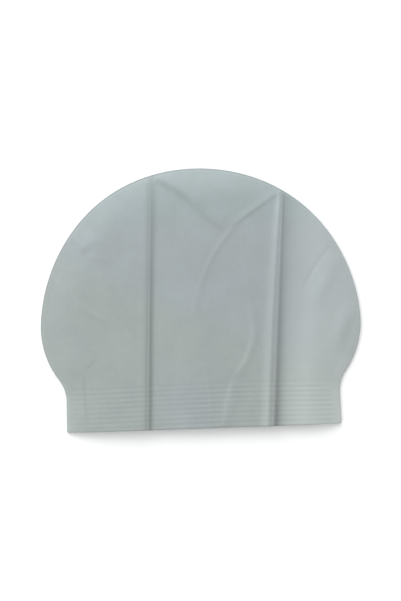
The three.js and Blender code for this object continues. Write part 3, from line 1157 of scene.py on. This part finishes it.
    def front_height(self, x: np.ndarray, y: np.ndarray, inward: np.ndarray) -> np.ndarray:
        """Return what the swell and the folds add to the front face.

        Args:
            x: Places across the cap.
            y: Heights over the hem.
            inward: Distances inside the folded edge.

        Returns:
            The heights over the folded edge's own height.
        """
        height = self.outline.height
        folds = sum(fold.lift(x, y, height) for fold in PACKING_FOLDS)
        soft = sum(fold.lift(x, y, self.outline.width / 2, height) for fold in SOFT_FOLDS if fold.rise)
        swell = self.swell * (1 - np.exp(-inward / self.swell_reach))
        return swell + smooth(inward / self.fold_end) * (folds + soft)

    def skin(self, rows: list[Row], inset: float) -> dict[str, np.ndarray]:
        """Shape one skin.

        Args:
            rows: Its rows from the hem up.
            inset: Distance inside the outer skin.

        Returns:
            Arrays of one value for each row and column: x, y, z and the values kept on points.
        """
        front = np.array([self.front_columns(row) + row.middle for row in rows])
        back = np.array([self.back_columns(row) + row.middle for row in rows])
        x = np.hstack([front, back])
        y = np.repeat(np.array([[row.y] for row in rows]), x.shape[1], axis=1)
        is_front = np.arange(x.shape[1]) < front.shape[1]
        on_edge = np.zeros(x.shape, dtype=bool)
        on_edge[:, [0, front.shape[1] - 1]] = True
        inward = nearest_on(self.outline.edge_line(), x, y)[0]
        inward = np.where(on_edge, inset, np.maximum(inward, inset))
        radius = self.edge_radius - inset
        deep = np.minimum(inward - inset, radius)
        turn = np.sqrt(deep * (2 * radius - deep))
        lift = self.front_height(x, y, inward)
        marks = self.marks(x, y, inward)
        settle = self.back_rise * smooth(1 - (y - self.ribs.top) / self.back_ease) * turn / radius
        z = self.edge_radius + np.where(is_front, turn + np.where(on_edge, 0, lift), settle - turn)
        # A mark below 0 lightens the colour, so it is added to the painted light and paler tone.
        return {
            "x": x,
            "y": y,
            "z": z,
            "hem_rise": self.ribs.hem_rise(x, y, self.outline.width / 2) * MM,
            "rib_reach": self.ribs.reach(inward) * (0.0 if inset else 1.0),
            "painted_shade_and_dull_patches": np.where(is_front, np.maximum(marks, 0), 0.0),
            "pale_tone_and_painted_light": np.where(is_front, self.pale_tone_and_painted_light(x, y, inward) - np.minimum(marks, 0), 0.0),
            "cool_zone": self.hues.cool(x, y),
            "crown_zone": self.hues.crown(y),
        }

    def hem_lip(self, outer: dict[str, np.ndarray],
                inner: dict[str, np.ndarray]) -> list[dict[str, np.ndarray]]:
        """Round the cut hem between the two skins.

        Args:
            outer: The outer skin.
            inner: The inner skin.

        Returns:
            Loops of points from the inner skin's hem to the outer skin's, each as a skin of one row.
        """
        loops = []
        for share in self.plan.lip_shares:
            loop = {name: (1 - share) * inner[name][:1] + share * outer[name][:1] for name in outer}
            sunk = 1 - math.sin(math.pi * share)
            loop["y"] = np.full_like(loop["y"], self.wall * self.plan.lip_round * sunk)
            loop["rib_reach"] = np.zeros_like(loop["rib_reach"])
            loops.append(loop)
        return loops

    def smooth_skin(self) -> bpy.types.Object:
        """Build the cap without its ribs.

        Returns:
            An object with one closed mesh, in metres and in the part's frame.
        """
        plan = self.plan
        outer = self.skin(self.rows(0.0, plan.outer_band_step, plan.outer_crown_rows), 0.0)
        inner = self.skin(self.rows(self.wall, plan.inner_band_step, plan.inner_crown_rows), self.wall)
        inner = {name: values[::-1] for name, values in inner.items()}
        lip = self.hem_lip(outer, {name: values[::-1] for name, values in inner.items()})
        skins = [inner, *lip, outer]
        loops = {name: np.vstack([skin[name] for skin in skins]) for name in outer}
        rows, columns = loops["x"].shape
        top = np.array([[-self.outline.crown_lean, self.outline.height - inset, self.edge_radius]
                        for inset in (self.wall, 0.0)])
        points = np.vstack([np.stack([loops[axis].ravel() for axis in "xyz"], axis=1), top])
        points[:, 1] -= self.outline.height / 2
        at = np.arange(rows * columns).reshape(rows, columns)
        beside = np.roll(at, -1, axis=1)
        quads = np.stack([at[:-1], beside[:-1], beside[1:], at[1:]], axis=-1).reshape(-1, 4)
        inner_top, outer_top = rows * columns, rows * columns + 1
        fans = [(int(b), int(a), inner_top) for a, b in zip(at[0], beside[0])]
        fans += [(int(a), int(b), outer_top) for a, b in zip(at[-1], beside[-1])]
        mesh = bpy.data.meshes.new("cap_skin")
        mesh.from_pydata(points * MM, [], quads.tolist() + fans)
        for name in POINT_VALUES:
            values = np.append(loops[name].ravel(), loops[name][[0, -1], 0]).astype(np.float32)
            mesh.attributes.new(name, "FLOAT", "POINT").data.foreach_set("value", values)
        mesh.shade_smooth()
        mesh.update()
        skin = bpy.data.objects.new("swim_cap_base", mesh)
        bpy.context.scene.collection.objects.link(skin)
        return skin

    def build(self) -> bpy.types.Object:
        """Build the finished cap in place of the plain packed one.

        Returns:
            The cap's object.
        """
        base = self.smooth_skin()
        material = self.finish.material()
        mesh = self.ribs.raise_on(base, material)
        bpy.data.objects.remove(base)
        cap = bpy.data.objects.new("swim_cap", mesh)
        bpy.context.scene.collection.objects.link(cap)
        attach(cap, BODY)
        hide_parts(CAP_NODE)
        faces = sum(len(polygon.vertices) - 2 for polygon in mesh.polygons)
        log.info("swim_cap: %d triangles, %d packing folds, %d soft folds, %d ribs",
                 faces, len(PACKING_FOLDS), len(SOFT_FOLDS), self.ribs.count)
        log.info("folds: %s", "; ".join(fold.name for fold in (*PACKING_FOLDS, *SOFT_FOLDS)))
        return cap


class LampRole(Enum):
    """What a studio lamp is for."""

    KEY = "key"
    FILL = "fill"


@dataclass(frozen=True)
class SoftLamp:
    """A square studio lamp aimed at the cap, in metres and watts.

    Attributes:
        role: What the lamp is for.
        place: Where it hangs.
        side: Length of its side.
        power: Its power.
        colour: Its colour.
    """

    role: LampRole
    place: tuple[float, float, float]
    side: float
    power: float
    colour: tuple[float, float, float]

    def build(self) -> bpy.types.Object:
        """Hang the lamp and aim it.

        Returns:
            The lamp's object.
        """
        data = bpy.data.lights.new(self.role.value, "AREA")
        data.shape = "SQUARE"
        data.size = self.side
        data.energy = self.power
        data.color = self.colour
        lamp = bpy.data.objects.new(self.role.value, data)
        lamp.location = self.place
        lamp.rotation_euler = (-Vector(self.place)).to_track_quat("-Z", "Y").to_euler()
        bpy.context.scene.collection.objects.link(lamp)
        log.info("lamp %s: %.1f W", self.role.value, self.power)
        return lamp


@dataclass(frozen=True)
class Studio:
    """The pale floor, the even light of a white room, the lamps and the camera, in metres.

    Attributes:
        floor_side: Length of the floor's side.
        floor_tone: The floor's brightness, linear.
        floor_roughness: Its roughness.
        floor_specular: How strongly it reflects.
        room_tone: The room's colour, linear.
        room_dim: The room's brightness on its dark side.
        room_bright: The room's brightness on its bright side.
        bright_side: The way to the bright side.
        lamps: The lamps.
        lens: The camera's lens, in millimetres.
        sensor: The sensor's long side, in millimetres.
        frame_height: How much of the cap's own plane the picture's long side takes in.
        centre: Where the picture's centre falls on that plane.
        plane: That plane's height over the floor.
        roll: How far the camera is turned about its own axis, in degrees.
    """

    floor_side: float = 24.0
    floor_tone: float = 0.97
    floor_roughness: float = 0.9
    floor_specular: float = 0.1
    room_tone: tuple[float, float, float] = (0.985, 0.995, 1.0)
    room_dim: float = 0.13
    room_bright: float = 1.55
    bright_side: tuple[float, float, float] = (-0.45, 0.85, 0.25)
    lamps: tuple[SoftLamp, ...] = (
        SoftLamp(LampRole.KEY, (-0.9, 1.5, 1.2), side=1.7, power=19.0, colour=(0.94, 0.99, 1.0)),
        SoftLamp(LampRole.FILL, (-1.0, -0.7, 0.9), side=0.9, power=2.0, colour=(1.0, 1.0, 0.9)),
    )
    lens: float = 85.0
    sensor: float = 36.0
    frame_height: float = 0.4131
    centre: tuple[float, float] = (0.00048, -0.0017)
    plane: float = 0.0017
    roll: float = 2.0

    def floor(self) -> bpy.types.Object:
        """Lay the floor and give it a plain pale finish.

        Returns:
            The floor's object.
        """
        reach = self.floor_side / 2
        corners = [(-reach, -reach, 0), (reach, -reach, 0), (reach, reach, 0), (-reach, reach, 0)]
        mesh = bpy.data.meshes.new("floor")
        mesh.from_pydata(corners, [], [(0, 1, 2, 3)])
        material = bpy.data.materials.new("pale_floor")
        material.use_nodes = True
        shader = material.node_tree.nodes["Principled BSDF"]
        shader.inputs["Base Color"].default_value = (self.floor_tone,) * 3 + (1.0,)
        shader.inputs["Roughness"].default_value = self.floor_roughness
        shader.inputs["Specular IOR Level"].default_value = self.floor_specular
        mesh.materials.append(material)
        floor = bpy.data.objects.new("floor", mesh)
        bpy.context.scene.collection.objects.link(floor)
        return floor

    def room(self) -> None:
        """Surround the scene with pale light that is stronger on one side."""
        world = bpy.data.worlds.new("white_room")
        world.use_nodes = True
        nodes, links = world.node_tree.nodes, world.node_tree.links
        light = nodes["Background"]
        light.inputs["Color"].default_value = (*self.room_tone, 1.0)
        towards = nodes.new("ShaderNodeVectorMath")
        towards.operation = "DOT_PRODUCT"
        links.new(nodes.new("ShaderNodeTexCoord").outputs["Generated"], towards.inputs[0])
        towards.inputs[1].default_value = Vector(self.bright_side).normalized()
        strength = nodes.new("ShaderNodeMapRange")
        strength.inputs["From Min"].default_value = -1.0
        strength.inputs["To Min"].default_value = self.room_dim
        strength.inputs["To Max"].default_value = self.room_bright
        links.new(towards.outputs["Value"], strength.inputs["Value"])
        links.new(strength.outputs["Result"], light.inputs["Strength"])
        bpy.context.scene.world = world

    def camera(self) -> bpy.types.Object:
        """Hang the camera straight over the cap.

        Returns:
            The camera's object.
        """
        data = bpy.data.cameras.new("camera")
        data.lens = self.lens
        data.sensor_width = self.sensor
        camera = bpy.data.objects.new("camera", data)
        distance = self.frame_height * self.lens / self.sensor
        camera.location = (*self.centre, self.plane + distance)
        camera.rotation_euler = (0.0, 0.0, math.radians(-self.roll))
        bpy.context.scene.collection.objects.link(camera)
        bpy.context.scene.camera = camera
        return camera

    def build(self) -> None:
        """Set up the whole studio."""
        self.floor()
        self.room()
        for lamp in self.lamps:
            lamp.build()
        self.camera()
        bpy.context.scene.view_settings.view_transform = "Standard"
        log.info("studio: floor, room, %d lamps and camera", len(self.lamps))


def main() -> None:
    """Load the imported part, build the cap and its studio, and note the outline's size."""
    logging.basicConfig(level=logging.INFO, format="%(name)s: %(message)s")
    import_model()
    low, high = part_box(CAP_NODE)
    outline = CapOutline(width=(high[0] - low[0]) / MM, height=(high[1] - low[1]) / MM)
    log.info("outline: %.1f x %.1f mm", outline.width, outline.height)
    SwimCap(outline).build()
    Studio().build()


if __name__ == "__main__":
    main()
